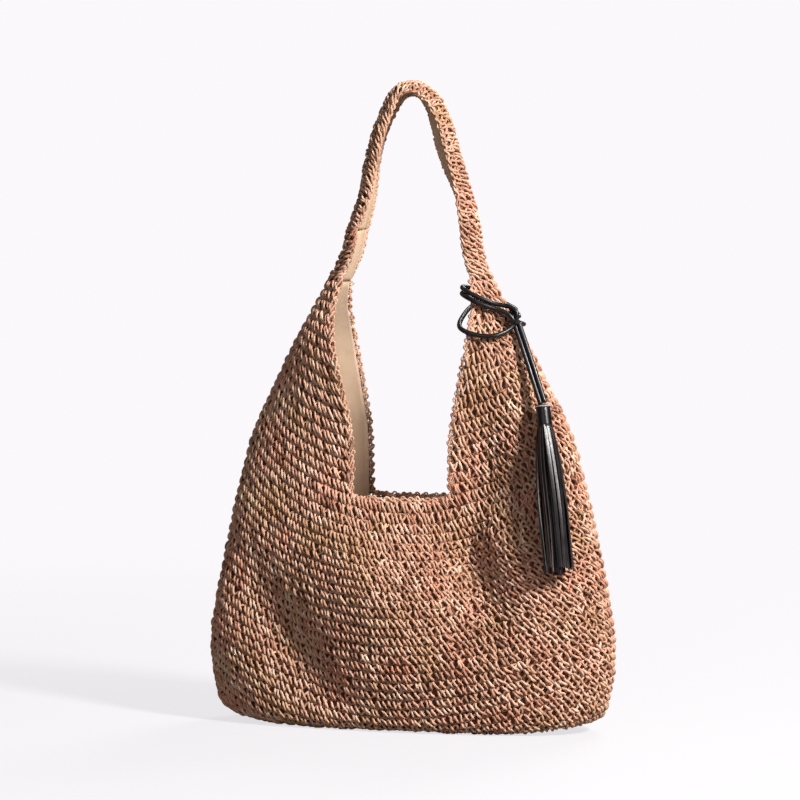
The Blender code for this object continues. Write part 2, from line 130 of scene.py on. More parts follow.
# the shaded face behind the stitches, and the lining: insets from the skin, and thicknesses
WALL_FACE_INSET = 0.0027
WALL_FACE = 0.0012
FACE_INSET = 0.0034
FACE = 0.0008
LINING_INSET = 0.0051
LINING = 0.0009

# Soft folds of the wall: front or back (-1, 1), middle (x, z), half length, half width, the tilt of
# its length from the X axis in degrees, and how far it stands out
FOLDS = (
    (-1, 0.074, 0.163, 0.064, 0.028, -58, -0.025),
    (-1, 0.082, 0.25, 0.07, 0.02, 86, -0.012),
    (-1, -0.03, 0.15, 0.085, 0.036, -55, 0.012),
    (-1, -0.114, 0.092, 0.09, 0.032, -54, -0.018),
    (-1, 0.132, 0.13, 0.09, 0.036, 74, 0.01),
    (-1, 0.02, 0.06, 0.08, 0.026, 4, 0.003),
    (-1, -0.15, 0.3, 0.06, 0.02, 62, -0.003),
    (1, -0.06, 0.16, 0.07, 0.028, 50, -0.006),
    (1, 0.05, 0.15, 0.08, 0.032, 60, 0.005),
    (1, 0.12, 0.11, 0.07, 0.03, -56, -0.0045),
    (1, -0.125, 0.12, 0.08, 0.036, -70, 0.004),
)


def at(stations, where):
    """Sizes at places, on a smooth curve through the stations."""
    places, sizes = np.array(stations).T
    slopes = np.gradient(sizes, places)
    where = np.asarray(where, float)
    i = np.clip(np.searchsorted(places, where) - 1, 0, len(places) - 2)
    span = places[i + 1] - places[i]
    t = np.clip((where - places[i]) / span, 0, 1)
    low = (1 + 2 * t) * (1 - t) ** 2 * sizes[i] + t * (1 - t) ** 2 * span * slopes[i]
    high = t * t * (3 - 2 * t) * sizes[i + 1] + t * t * (t - 1) * span * slopes[i + 1]
    return low + high


def power(value, exponent):
    """The value's size raised to a power, with the value's sign."""
    return np.sign(value) * np.abs(value) ** exponent


def mouth_angle(z):
    """The section angle, from the side seam, at which the mouth cuts the wall."""
    z = np.maximum(z, MOUTH_BOTTOM)
    return np.arccos((at(MOUTH_HALF_WIDTH, z) / at(HALF_WIDTH, z)) ** (SQUARENESS / 2))


def height_of(run):
    """The height of a run measured up the wall from the base's edge, round the rounded corner."""
    turn = np.clip(run / CORNER, 0, pi / 2)
    return np.where(run > CORNER_RUN, CORNER + run - CORNER_RUN, CORNER * (1 - np.cos(turn)))


def run_of(z):
    """The run up the wall that reaches a height above the rounded corner."""
    return z - CORNER + CORNER_RUN


def end_lift(x, z):
    """How much the bag's ends curl up off the floor."""
    return END_LIFT * (np.abs(x) / 0.2) ** 4 * np.maximum(0, 1 - z / 0.1)


def plain_skin(run, angle):
    """The bag's outer face with no folds. A negative run goes in under the base."""
    turn = np.clip(run / CORNER, 0, pi / 2)
    z = height_of(run)
    inset = CORNER * (1 - np.sin(turn)) + np.maximum(-run, 0)
    section = np.maximum(z, CORNER)
    x = (at(HALF_WIDTH, section) - inset) * power(np.cos(angle), BEND)
    y = (at(HALF_DEPTH, section) - inset) * power(np.sin(angle), BEND)
    return np.stack([x, y, z + end_lift(x, section)], -1)


def unit(vectors):
    return vectors / np.maximum(np.linalg.norm(vectors, axis=-1, keepdims=True), 1e-12)


def normals(surface, first, second, step=(0.003, 0.012)):
    """Outward normals of a surface of (run, angle)."""
    up = surface(first + step[0], second) - surface(first - step[0], second)
    round_it = surface(first, second + step[1]) - surface(first, second - step[1])
    return unit(np.cross(round_it, up))


def fold_height(points, facing):
    """How far the folds push the wall out at these points; facing is the Y of the plain normal."""
    total = np.zeros(points.shape[:-1])
    for side, x, z, length, width, tilt, height in FOLDS:
        along_x, along_z = cos(radians(tilt)), sin(radians(tilt))
        dx, dz = points[..., 0] - x, points[..., 2] - z
        u = dx * along_x + dz * along_z
        v = dz * along_x - dx * along_z
        near = np.exp(-((u / length) ** 2) - (v / width) ** 2)
        total += height * near * np.clip(side * facing * 1.5, 0, 1)
    base_fade = np.clip((points[..., 2] - 0.004) / 0.03, 0, 1)
    top_fade = np.clip((0.44 - points[..., 2]) / 0.05, 0, 1)
    return total * base_fade * top_fade


def skin(run, angle, inset=0.0):
    """The bag's outer face with its folds, or the surface that far inside it."""
    run, angle = np.broadcast_arrays(np.asarray(run, float), np.asarray(angle, float))
    points = plain_skin(run, angle)
    normal = normals(plain_skin, run, angle)
    return points + normal * (fold_height(points, normal[..., 1]) - inset)[..., None]


def resample(curve, shares, values=None):
    """Points at these shares of a curve's length, or what the values given at its points are there."""
    run = np.concatenate([[0], np.cumsum(np.linalg.norm(np.diff(curve, axis=0), axis=1))])
    columns = (curve if values is None else values).T
    return np.stack([np.interp(shares * run[-1], run, column) for column in columns], -1)


def length_of(curve):
    return float(np.linalg.norm(np.diff(curve, axis=0), axis=1).sum())


# ---- meshes


def add(name, data):
    obj = bpy.data.objects.new(name, data)
    scene.collection.objects.link(obj)
    return obj


def mesh_object(name, verts, loops, starts):
    """A smooth mesh from numpy arrays: all faces' corner indices, and where each face starts among them."""
    mesh = bpy.data.meshes.new(name)
    mesh.vertices.add(len(verts))
    mesh.vertices.foreach_set("co", np.ascontiguousarray(verts, np.float32).ravel())
    mesh.loops.add(len(loops))
    mesh.loops.foreach_set("vertex_index", loops.astype(np.int32))
    mesh.polygons.add(len(starts))
    mesh.polygons.foreach_set("loop_start", starts.astype(np.int32))
    mesh.update(calc_edges=True)
    mesh.shade_smooth()
    return add(name, mesh)


@contextmanager
def editing(mesh):
    """The mesh as a bmesh, written back at the end."""
    bm = bmesh.new()
    bm.from_mesh(mesh)
    yield bm
    bm.to_mesh(mesh)
    bm.free()


def grid_object(name, points, closed=False):
    """A sheet of quads from a grid of points (rows, columns, 3)."""
    rows, columns = points.shape[:2]
    index = np.arange(rows * columns).reshape(rows, columns)
    if closed:
        index = np.concatenate([index, index[:, :1]], axis=1)
    quads = np.stack([index[:-1, :-1], index[:-1, 1:], index[1:, 1:], index[1:, :-1]], -1).reshape(-1, 4)
    return mesh_object(name, points.reshape(-1, 3), quads.ravel(), np.arange(len(quads)) * 4)


def tube_faces(count, size, sides):
    """The faces of closed tubes whose vertices run ring by ring: corner indices, and each face's start."""
    index = np.arange(count * size * sides).reshape(count, size, sides)
    after = np.roll(index, -1, axis=2)
    quads = np.stack([index[:, :-1], index[:, 1:], after[:, 1:], after[:, :-1]], -1).reshape(-1, 4)
    caps = np.concatenate([index[:, 0], index[:, -1, ::-1]])
    starts = np.concatenate([np.arange(len(quads)) * 4, len(quads) * 4 + np.arange(len(caps)) * sides])
    return np.concatenate([quads.ravel(), caps.ravel()]), starts


def uv_layer(mesh, name, quad_uv, cap_uv):
    uv = np.concatenate([quad_uv.reshape(-1, 2), cap_uv])
    mesh.uv_layers.new(name=name).uv.foreach_set("vector", uv.astype(np.float32).ravel())


def tubes_object(name, lines, ups, radii, tints, sides=6):
    """Round yarns as one mesh. lines is (count, points, 3); ups is a rough outward direction at each
    point; radii is (count, points); tints is one number per yarn. Ends are closed."""
    count, size = lines.shape[:2]
    ahead = unit(np.gradient(lines, axis=1))
    across = unit(np.cross(ahead, ups))
    out = np.cross(across, ahead)
    turn = np.arange(sides) / sides * tau
    ring = across[:, :, None] * np.cos(turn)[:, None] + out[:, :, None] * np.sin(turn)[:, None]
    verts = lines[:, :, None] + ring * radii[:, :, None, None]
    obj = mesh_object(name, verts.reshape(-1, 3), *tube_faces(count, size, sides))
    mesh = obj.data
    tint = mesh.attributes.new("tint", "FLOAT", "POINT")
    tint.data.foreach_set("value", np.repeat(tints, size * sides).astype(np.float32))
    shape = (count, size - 1, sides, 4)
    around = np.arange(sides) / sides
    corner_u = np.broadcast_to(np.stack([around, around, around + 1 / sides, around + 1 / sides], -1), shape)

    def per_corner(along):
        """A value at each ring of each yarn, at the four corners of every quad."""
        ends = np.stack([along[:, :-1], along[:, 1:], along[:, 1:], along[:, :-1]], -1)
        return np.broadcast_to(ends[:, :, None], shape)

    steps = np.linalg.norm(np.diff(lines, axis=1), axis=2)
    along = np.concatenate([np.zeros((count, 1)), np.cumsum(steps, axis=1)], axis=1)
    phase = rng.random(count)[:, None, None, None]
    yarn_uv = np.stack([corner_u, per_corner(along) / TWIST_LENGTH + phase], -1)
    uv_layer(mesh, "Yarn", yarn_uv, np.zeros((2 * count * sides, 2)))
    # the bake layer gives each yarn a square of its own
    squares = ceil(sqrt(count))
    number = np.arange(count)[:, None, None, None]
    share = per_corner(np.linspace(0, 1, size)[None])
    bake_uv = np.stack([(number % squares + 0.1 + 0.8 * corner_u) / squares,
                        (number // squares + 0.1 + 0.8 * share) / squares], -1)
    uv_layer(mesh, "OFBake", bake_uv, np.tile(np.repeat(bake_uv[:, 0, 0, 0], sides, axis=0), (2, 1)))
    mesh.uv_layers.active = mesh.uv_layers["Yarn"]
    return obj


# A stitch as yarns in its own cell: (across, up, out in yarn radii) points, and the radius share
LEG_LEFT = (((0.66, 0.00, -2.4), (0.6, 0.12, 0.2), (0.44, 0.36, 1.3), (0.27, 0.64, 1.2),
             (0.1, 0.88, 0.1), (0.03, 0.99, -2.4)), 1.0)
LEG_RIGHT = (((1.08, 0.00, -2.4), (1.03, 0.13, 0.1), (0.88, 0.38, 1.2), (0.74, 0.64, 1.1),
              (0.62, 0.88, 0.0), (0.58, 0.99, -2.4)), 1.0)
CROSSING = (((0.22, 0.02, -2.2), (0.32, 0.18, -0.4), (0.52, 0.44, 0.1), (0.7, 0.7, 0.0),
             (0.86, 0.9, -0.8), (0.94, 1.02, -2.4)), 0.95)
TOP_LOOP = (((-0.1, 0.98, -2.6), (0.15, 0.92, -1.6), (0.45, 1.00, -1.5), (0.75, 0.93, -1.6),
             (1.00, 0.98, -1.8), (1.1, 0.98, -2.6)), 0.9)
PICOT = (((0.22, 0.56, -0.8), (0.17, 0.9, 0.0), (0.28, 1.12, 0.1), (0.5, 1.13, 0.0),
          (0.61, 0.9, 0.0), (0.56, 0.56, -0.8)), 0.8)
OVER = (((-0.16, 0.25, -0.9), (0.12, 0.28, 0.5), (0.42, 0.55, 0.9), (0.72, 0.8, 0.5),
         (0.98, 0.86, -0.3), (1.14, 0.8, -1.2)), 1.0)
UNDER = (((-0.1, 0.86, -0.6), (0.16, 0.9, 0.0), (0.44, 0.7, -0.5), (0.74, 0.46, 0.1),
          (1.00, 0.3, 0.3), (1.16, 0.28, -0.8)), 1.0)
SINGLE = (LEG_LEFT, LEG_RIGHT, CROSSING, TOP_LOOP)
EDGE = (OVER, UNDER, PICOT)
HEM = (OVER, UNDER)


def spline_through(points, count):
    """Catmull-Rom points, evenly spread in parameter. points is (n, k)."""
    points = np.asarray(points, float)
    padded = np.concatenate([2 * points[:1] - points[1:2], points, 2 * points[-1:] - points[-2:-1]])
    t = np.linspace(0, len(points) - 1, count)
    i = np.minimum(t.astype(int), len(points) - 2)
    u = (t - i)[:, None]
    p0, p1, p2, p3 = padded[i], padded[i + 1], padded[i + 2], padded[i + 3]
    return 0.5 * (2 * p1 + (p2 - p0) * u + (2 * p0 - 5 * p1 + 4 * p2 - p3) * u * u
                  + (3 * p1 - p0 - 3 * p2 + p3) * u ** 3)


class Crochet:
    """Gathers stitch cells, then makes their yarn as meshes."""

    def __init__(self, template=SINGLE):
        self.template = template
        self.corners, self.outs, self.tints = [], [], []

    def row(self, low, high, stitches, keep=None):
        """One row of cells between two lines, each given as points and their outward directions. keep
        says from the cells' corners which of them stay."""
        (a, a_out), (b, b_out) = boundary(*low, stitches), boundary(*high, stitches)
        corners = np.stack([a[:-1], a[1:], b[:-1], b[1:]], 1)
        outs = np.stack([a_out[:-1], a_out[1:], b_out[:-1], b_out[1:]], 1)
        if keep is not None:
            kept = keep(corners)
            corners, outs = corners[kept], outs[kept]
        self.corners.append(corners)
        self.outs.append(outs)
        self.tints.append(np.clip(rng.normal(0.5, 0.13, len(corners)) + rng.normal(0, 0.04), 0, 1))

    def build(self, name, piece_stitches=560, inset=YARN_INSET, radius=YARN):
        cells = [np.concatenate(part) for part in (self.corners, self.outs, self.tints)]
        pieces = max(1, ceil(len(cells[0]) / piece_stitches))
        shares = zip(*(np.array_split(part, pieces) for part in cells))
        return [self.piece(name if pieces == 1 else f"{name}_{number + 1}", *share, inset, radius)
                for number, share in enumerate(shares)]

    def piece(self, name, corners, outs, tints, inset, radius):
        lines, ups, radii, shades = [], [], [], []
        count = len(corners)
        for places, share in self.template:
            across, up, out = spline_through(places, YARN_POINTS).T
            u = across + rng.normal(0, 0.022, (count, YARN_POINTS))
            lean = rng.normal(0, 0.125, (count, 2))
            u = u + lean[:, :1] * (1 - up) + lean[:, 1:] * up
            v = up + rng.normal(0, 0.05, (count, 1))
            w = out * radius - inset + rng.normal(0, 0.00035, (count, 1))
            weights = np.stack([(1 - u) * (1 - v), u * (1 - v), (1 - u) * v, u * v], -1)
            direction = unit(np.einsum("cpk,ckx->cpx", weights, outs))
            lines.append(np.einsum("cpk,ckx->cpx", weights, corners) + direction * w[..., None])
            ups.append(direction)
            radii.append(radius * share * rng.normal(1, 0.05, (count, 1)) * np.ones((1, YARN_POINTS)))
            shades.append(np.clip(tints + rng.normal(0, 0.09, count), 0, 1))
        return tubes_object(name, *(np.concatenate(part) for part in (lines, ups, radii, shades)))


def boundary(line, outs, stitches):
    """Evenly spaced places along a line, one more than its stitches, with their outward directions."""
    shares = np.linspace(0, 1, stitches + 1)
    return resample(line, shares), unit(resample(line, shares, outs))


def smiling_run(side_run, angle):
    """The run of a row that is at side_run on the side, at another angle round the bag."""
    return side_run - at(SMILE, side_run) * (1 - np.abs(np.cos(angle)) ** (2 * BEND))


def mouth_end(side_run):
    """The angle at which a wing row meets the mouth's edge."""
    z = height_of(side_run)
    for _ in range(12):
        z = height_of(smiling_run(side_run, mouth_angle(z)))
    return float(mouth_angle(z))


def row_line(side_run, end, count, turned=0.0, start=None):
    """A row's points, outward directions and runs between two angles, turned to its side of the bag."""
    angles = np.linspace(-end if start is None else start, end, count)
    run = smiling_run(side_run, angles)
    angles = angles + turned
    return skin(run, angles), normals(skin, run, angles), run


def crochet_body():
    """Rounds up to the mouth, then rows over each wing."""
    cover = Crochet()
    rounds = [row_line(run, 3 * pi / 2, ROUND_POINTS, start=-pi / 2)
              for run in np.linspace(FIRST_RUN, LAST_ROUND_RUN, FULL_ROUNDS + 1)]
    cells, places = np.linspace(0, 1, ROUND_STITCHES), np.linspace(0, 1, ROUND_POINTS)
    for low, high in zip(rounds[:-1], rounds[1:]):
        runs = np.interp(cells, places, (low[2] + high[2]) / 2)
        cover.row(low[:2], high[:2], ROUND_STITCHES,
                  keep=lambda corners: (runs > 0.006) & (corners[..., 2].mean(1) > -0.001))
    sides = np.linspace(LAST_ROUND_RUN, run_of(WING_TOP), WING_ROWS + 1)
    for low_run, high_run in zip(sides[:-1], sides[1:]):
        for turned in (0.0, pi):
            low, high = (row_line(run, mouth_end(run), WING_POINTS, turned)[:2]
                         for run in (low_run, high_run))
            stitches = max(4, round((length_of(low[0]) + length_of(high[0])) / 2 / STITCH))
            cover.row(low, high, stitches)
    return cover.build("crochet_rounds")


def crochet_base():
    """Flat oval rounds under the bag."""
    cover = Crochet()
    angles = np.linspace(-pi / 2, 3 * pi / 2, BASE_POINTS)
    down = np.tile([0.0, 0.0, -1.0], (BASE_POINTS, 1))
    edges = np.linspace(0.006, -0.047, 7)
    for inner, outer in zip(edges[1:], edges[:-1]):
        low, high = plain_skin(inner, angles), plain_skin(outer, angles)
        cover.row((low, down), (high, down), round(length_of(low) / STITCH))
    return cover.build("crochet_base_rounds", inset=YARN * 2.2)


def wall_grids(inset, low_run):
    """Points of the wall below the mouth, then of each wing, at an inset from the skin."""
    half_rows, wing_columns, mouth_columns = 35, 89, 22

    def wing(run):
        edge = float(mouth_angle(height_of(run)))
        return edge, np.linspace(-edge, edge, wing_columns)

    low = []
    for run in np.linspace(low_run, run_of(MOUTH_BOTTOM), half_rows):
        edge, angles = wing(run)
        free = np.linspace(edge, pi - edge, mouth_columns + 2)[1:-1]
        low.append(skin(run, np.concatenate([angles, free, pi + angles, pi + free]), inset))
    wing_runs = np.linspace(run_of(MOUTH_BOTTOM), run_of(WING_TOP), half_rows)
    wings = [np.stack([skin(run, wing(run)[1] + turned, inset) for run in wing_runs]) for turned in (0.0, pi)]
    return [np.stack(low), *wings]


def wall_sheet(name, inset, thickness, low_run=0.0):
    """The wall and both wings as one thin closed sheet, merged at their shared edges."""
    mesh = bpy.data.meshes.new(name)
    with editing(mesh) as bm:
        for number, points in enumerate(wall_grids(inset, low_run)):
            part = grid_object(name, points, closed=number == 0)
            bm.from_mesh(part.data)
            bpy.data.objects.remove(part)
        bmesh.ops.remove_doubles(bm, verts=bm.verts[:], dist=1e-5)
    mesh.shade_smooth()
    return thicken(add(name, mesh), thickness)


def thicken(obj, thickness):
    solid = obj.modifiers.new("Thickness", "SOLIDIFY")
    solid.thickness = thickness
    solid.offset = -1
    return obj


# ---- strap and roots


def strap_frame(count):
    """The strap's centre points and inward directions, at even distances along it."""
    share = np.linspace(0, 1, count)
    line = resample(spline_through([(x, 0, z) for x, z in STRAP_LINE], 900), share)
    ahead = unit(np.gradient(line, axis=0))
    inward = np.stack([-ahead[:, 2], np.zeros(count), ahead[:, 0]], -1)
    inward *= np.sign(((np.array(STRAP_MIDDLE) - line) * inward).sum(1))[:, None]
    end = np.clip(1 - np.minimum(share, 1 - share) / 0.05, 0, 1)[:, None]
    level = np.stack([-np.sign(line[:, 0]), np.zeros(count), np.zeros(count)], -1)
    return line, unit(inward * (1 - end) + level * end)


def strap_surface(line, inward, across):
    """The strap's outer face: (count, across, 3) points from the right root to the left one."""
    share = np.linspace(0, 1, len(line))[:, None]
    from_top = np.abs(2 * share - 1) ** 1.5
    half_width = STRAP_HALF_WIDTH[0] + (STRAP_HALF_WIDTH[1] - STRAP_HALF_WIDTH[0]) * from_top
    a = np.linspace(-pi / 2, pi / 2, across)
    curl = np.where(a < 0, at(FRONT_CURL, share), at(BACK_CURL, share))
    q = curl * (1 - np.abs(np.cos(a)) ** BEND)
    points = line[:, None] + inward[:, None] * q[..., None]
    points[..., 1] += half_width * power(np.sin(a), BEND)
    return points


def root_surface(side, strap_end, count, across):
    """A root's outer face, from the wing's top up to the strap's end."""
    share = np.linspace(0, 1, count)[:, None]
    z = WING_TOP + (STRAP_LOW - WING_TOP) * share
    angles = mouth_angle(z) * np.linspace(-1, 1, across)
    wing = plain_skin(run_of(z), angles)
    x = (1 - share) * wing[..., 0] + share * np.abs(strap_end[:, 0])
    y = (1 - share) * wing[..., 1] + share * strap_end[:, 1]
    return np.stack([side * x, y, np.broadcast_to(z, x.shape)], -1)


def grid_normals(points, like):
    """Normals of a grid of points, all facing the way of the like direction."""
    normal = unit(np.cross(np.gradient(points, axis=0), np.gradient(points, axis=1)))
    flip = np.sign((normal * like).sum(-1, keepdims=True))
    return normal * np.where(flip == 0, 1, flip)


def lengthwise(cover, points, outs, rows):
    """Rows of stitches that run along the first axis of a grid of points."""
    stations = [boundary(station, out, rows) for station, out in zip(points, outs)]
    lines, line_outs = (np.array(part) for part in zip(*stations))
    stitches = max(2, round(length_of(lines[:, rows // 2]) / STITCH))
    for k in range(rows):
        cover.row((lines[:, k], line_outs[:, k]), (lines[:, k + 1], line_outs[:, k + 1]), stitches)


def smoothed(directions, reach):
    """Directions along a line, each averaged with its neighbours this many places away."""
    kernel = np.exp(-np.linspace(-2, 2, 2 * reach + 1) ** 2)
    kernel /= kernel.sum()
    wide = np.pad(directions, ((reach, reach), (0, 0)), mode="edge")
    return unit(np.stack([np.convolve(wide[:, k], kernel, "valid") for k in range(3)], -1))


def edge_band(cover, edge, near, normal, stitch, reach=EDGE_REACH):
    """One row of edge stitches along a rim. edge and near are points on the rim and just inside it."""
    out = smoothed(unit(edge - near), 10)
    stitches = max(2, round(length_of(edge) / stitch))
    cover.row((edge - out * EDGE_OVERLAP, normal), (edge + out * reach, normal), stitches)


def edging(cover, name):
    return cover.build(name, 900, inset=EDGE_INSET, radius=EDGE_YARN)[0]


# ---- materials


class Look:
    """A short way to write a procedural material."""

    def __init__(self, name):
        self.material = bpy.data.materials.new(name)
        self.material.use_nodes = True
        self.tree = self.material.node_tree
        self.shader = self.tree.nodes["Principled BSDF"]

    def node(self, kind, *values, **settings):
        """A new node, its first inputs fed with these values and its settings or named inputs set."""
        made = self.tree.nodes.new(kind)
        for key, value in settings.items():
            if key in made.inputs.keys():
                made.inputs[key].default_value = value
            else:
                setattr(made, key, value)
        for socket, value in zip(made.inputs, values):
            self.feed(socket, value)
        return made

    def feed(self, socket, value):
        if isinstance(value, bpy.types.NodeSocket):
            self.tree.links.new(value, socket)
        elif isinstance(value, (int, float)):
            socket.default_value = value
        elif value is not None:
            socket.default_value = (*value, 1)

    def set(self, **values):
        for key, value in values.items():
            self.feed(self.shader.inputs[key.replace("_", " ")], value)

    def ramp(self, factor, *stops):
        """A colour ramp. A stop is a place and a colour, or a place and a grey."""
        made = self.node("ShaderNodeValToRGB", factor)
        ramp = made.color_ramp
        while len(ramp.elements) < len(stops):
            ramp.elements.new(0.5)
        for element, (place, colour) in zip(ramp.elements, stops):
            element.position = place
            element.color = (*colour, 1) if isinstance(colour, tuple) else (colour, colour, colour, 1)
        return made.outputs["Color"]

    def mix(self, factor, a, b, blend="MIX"):
        made = self.node("ShaderNodeMix", factor, data_type="RGBA", blend_type=blend)
        self.feed(made.inputs[6], a)
        self.feed(made.inputs[7], b)
        return made.outputs[2]

    def noise(self, scale, detail=3.0):
        return self.node("ShaderNodeTexNoise", self.place(), Scale=scale, Detail=detail,
                         Roughness=0.55).outputs["Fac"]

    def place(self):
        return self.node("ShaderNodeTexCoord").outputs["Object"]

    def axes(self, vector):
        return self.node("ShaderNodeSeparateXYZ", vector).outputs[:]

    def bump(self, height, distance, strength, before=None):
        made = self.node("ShaderNodeBump", Distance=distance, Strength=strength)
        self.feed(made.inputs["Height"], height)
        self.feed(made.inputs["Normal"], before)
        self.set(Normal=made.outputs["Normal"])
        return made.outputs["Normal"]

    def maths(self, kind, *values):
        return self.node("ShaderNodeMath", *values, operation=kind).outputs[0]

    def times(self, a, b):
        return self.maths("MULTIPLY", a, b)

    def wave(self, value):
        """A sine of the value, as 0 to 1."""
        return self.maths("MULTIPLY_ADD", self.maths("SINE", value), 0.5, 0.5)


def srgb(red, green, blue):
    """A colour given as 0 to 255 display values, as the shader wants it."""
    return tuple((v / 255 / 12.92) if v < 10.3 else ((v / 255 + 0.055) / 1.055) ** 2.4
                 for v in (red, green, blue))


def straw_look():
    """Twisted paper-straw yarn: each stitch its own tone, pink and olive patches, fibres along the twist, and
    painted shade in the twist's creases.
    """
    look = Look("straw yarn")
    tint = look.node("ShaderNodeAttribute", attribute_name="tint").outputs["Fac"]
    tone = look.ramp(tint, (0.0, srgb(150, 108, 88)), (0.35, srgb(204, 158, 132)),
                     (0.65, srgb(224, 184, 160)), (1.0, srgb(246, 216, 194)))
    patch = look.ramp(look.noise(24.0), (0.34, srgb(222, 214, 178)), (0.5, 1.0), (0.66, srgb(248, 214, 208)))
    colour = look.mix(0.6, tone, patch, "MULTIPLY")
    around, along, _ = look.axes(look.node("ShaderNodeUVMap", uv_map="Yarn").outputs["UV"])
    turn = look.maths("MULTIPLY_ADD", around, 2.0, along)
    creases = look.wave(look.times(turn, tau))
    # painted shade: the colour darkens in the bottoms of the twist's creases
    colour = look.mix(0.6, colour, look.ramp(creases, (0.0, (0.55, 0.5, 0.47)), (0.35, 1.0)), "MULTIPLY")
    fibres = look.noise(900.0, 2.0)
    grain = look.ramp(fibres, (0.3, (0.8, 0.78, 0.76)), (0.7, (1.06, 1.05, 1.04)))
    look.set(Base_Color=look.mix(0.7, colour, grain, "MULTIPLY"), Roughness=0.62, Specular_IOR_Level=0.35)
    height = look.maths("ADD", look.times(creases, 0.8), look.times(fibres, 0.25))
    look.bump(height, 0.0005, 0.9)
    return look.material


def backing_look():
    """The shaded inside of the stitches, seen through the holes between them."""
    look = Look("straw in shade")
    spots = look.noise(420.0, 2.0)
    look.set(Base_Color=look.ramp(spots, (0.3, srgb(70, 42, 30)), (0.7, srgb(118, 78, 58))),
             Roughness=0.85, Specular_IOR_Level=0.15)
    look.bump(spots, 0.001, 0.8)
    return look.material


def cotton_look(name, light, shade, threads=0.00055):
    """Plain-woven cotton canvas."""
    look = Look(name)
    scaled = look.node("ShaderNodeMapping", look.place())
    scaled.inputs["Scale"].default_value = (1 / threads,) * 3
    x, y, z = look.axes(scaled.outputs[0])
    warp = look.maths("SINE", look.times(look.maths("ADD", x, y), pi))
    weft = look.maths("SINE", look.times(z, pi))
    weave = look.maths("MULTIPLY_ADD", look.times(warp, weft), 0.5, 0.5)
    colour = look.mix(look.times(look.noise(70.0, 4.0), 0.8), light, shade)
    colour = look.mix(0.22, colour, look.ramp(weave, (0.1, (0.66, 0.63, 0.6)), (0.8, 1.0)), "MULTIPLY")
    look.set(Base_Color=colour, Roughness=0.88, Sheen_Weight=0.15, Sheen_Roughness=0.5,
             Specular_IOR_Level=0.2)
    look.bump(look.noise(22.0), 0.003, 0.35, look.bump(weave, 0.00018, 0.7))
    return look.material


def leather_look():
    """Black leather with a soft shine, fine grain and paler edges, which are painted highlights."""
    look = Look("black leather")
    grain = look.node("ShaderNodeTexVoronoi", look.place(), Scale=1400.0, feature="DISTANCE_TO_EDGE")
    clouds = look.noise(60.0)
    edges = look.node("ShaderNodeNewGeometry").outputs["Pointiness"]
    colour = look.ramp(clouds, (0.35, srgb(14, 11, 13)), (0.65, srgb(30, 25, 28)))
    # painted highlight: sharp edges, found by pointiness, are given a paler colour
    colour = look.mix(look.ramp(edges, (0.54, 0.0), (0.64, 0.35)), colour, srgb(84, 74, 74))
    look.set(Base_Color=colour, Roughness=look.ramp(clouds, (0.3, 0.28), (0.7, 0.42)),
             Specular_IOR_Level=0.42)
    look.bump(clouds, 0.0008, 0.3, look.bump(grain.outputs["Distance"], 0.0001, 0.5))
    return look.material


def thread_look():
    look = Look("waxed thread")
    strands = look.node("ShaderNodeTexWave", look.place(), Scale=900.0, Distortion=1.5,
                        bands_direction="Z").outputs["Fac"]
    look.set(Base_Color=look.ramp(strands, (0.2, srgb(120, 112, 112)), (0.8, srgb(196, 190, 188))),
             Roughness=0.5)
    look.bump(strands, 0.0002, 0.6)
    return look.material


def brass_look():
    look = Look("antique brass")
    clouds = look.noise(180.0, 4.0)
    colour = look.ramp(clouds, (0.3, srgb(104, 82, 50)), (0.55, srgb(158, 128, 80)),
                       (0.8, srgb(196, 168, 112)))
    look.set(Base_Color=colour, Roughness=look.ramp(clouds, (0.3, 0.48), (0.7, 0.28)), Metallic=1.0)
    look.bump(look.noise(1200.0, 2.0), 0.00005, 0.4)
    return look.material


# each look's material slot and material
LOOKS = {
    "straw": ("straw", straw_look()),
    "shade": ("straw", backing_look()),
    "lining": ("cotton_lining", cotton_look("cotton lining", srgb(206, 182, 158), srgb(186, 158, 132))),
    "tape": ("zip_tape", cotton_look("zip tape", srgb(176, 152, 126), srgb(150, 126, 102), 0.0004)),
    "leather": ("black_leather", leather_look()),
    "thread": ("waxed_thread", thread_look()),
    "brass": ("antique_brass", brass_look()),
}


def paint(obj, look):
    """Gives a piece its material."""
    obj.data.materials.clear()
    obj.data.materials.append(LOOKS[look][1])


def dress(obj, look, body=None, node=None):
    """Gives a piece its material, the body it rides on and the CAD node it stands for."""
    paint(obj, look)
    if body:
        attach(obj, body)
    if node:
        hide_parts(node)
    return obj


def apply_modifiers(obj):
    graph = bpy.context.evaluated_depsgraph_get()
    mesh = bpy.data.meshes.new_from_object(obj.evaluated_get(graph))
    obj.modifiers.clear()
    obj.data = mesh


# ---- camera and stage


def build_camera():
    lens, sensor, distance, azimuth, elevation = 130.5, 36, 2.9, radians(16.3), radians(2.0)
    data = bpy.data.cameras.new("camera")
    data.lens = lens
    data.sensor_width = sensor
    obj = add("camera", data)
    back = Vector((sin(azimuth) * cos(elevation), -cos(azimuth) * cos(elevation), sin(elevation)))
    obj.location = Vector((-0.0106, 0, 0.325)) + back * distance
    obj.rotation_euler = back.to_track_quat("Z", "Y").to_euler()
    scene.camera = obj


def area_light(name, place, target, size, power, colour):
    data = bpy.data.lights.new(name, "AREA")
    data.shape = "DISK"
    data.size = size
    data.energy = power
    data.color = colour
    obj = add(name, data)
    obj.location = place
    obj.rotation_euler = (Vector(place) - Vector(target)).to_track_quat("Z", "Y").to_euler()


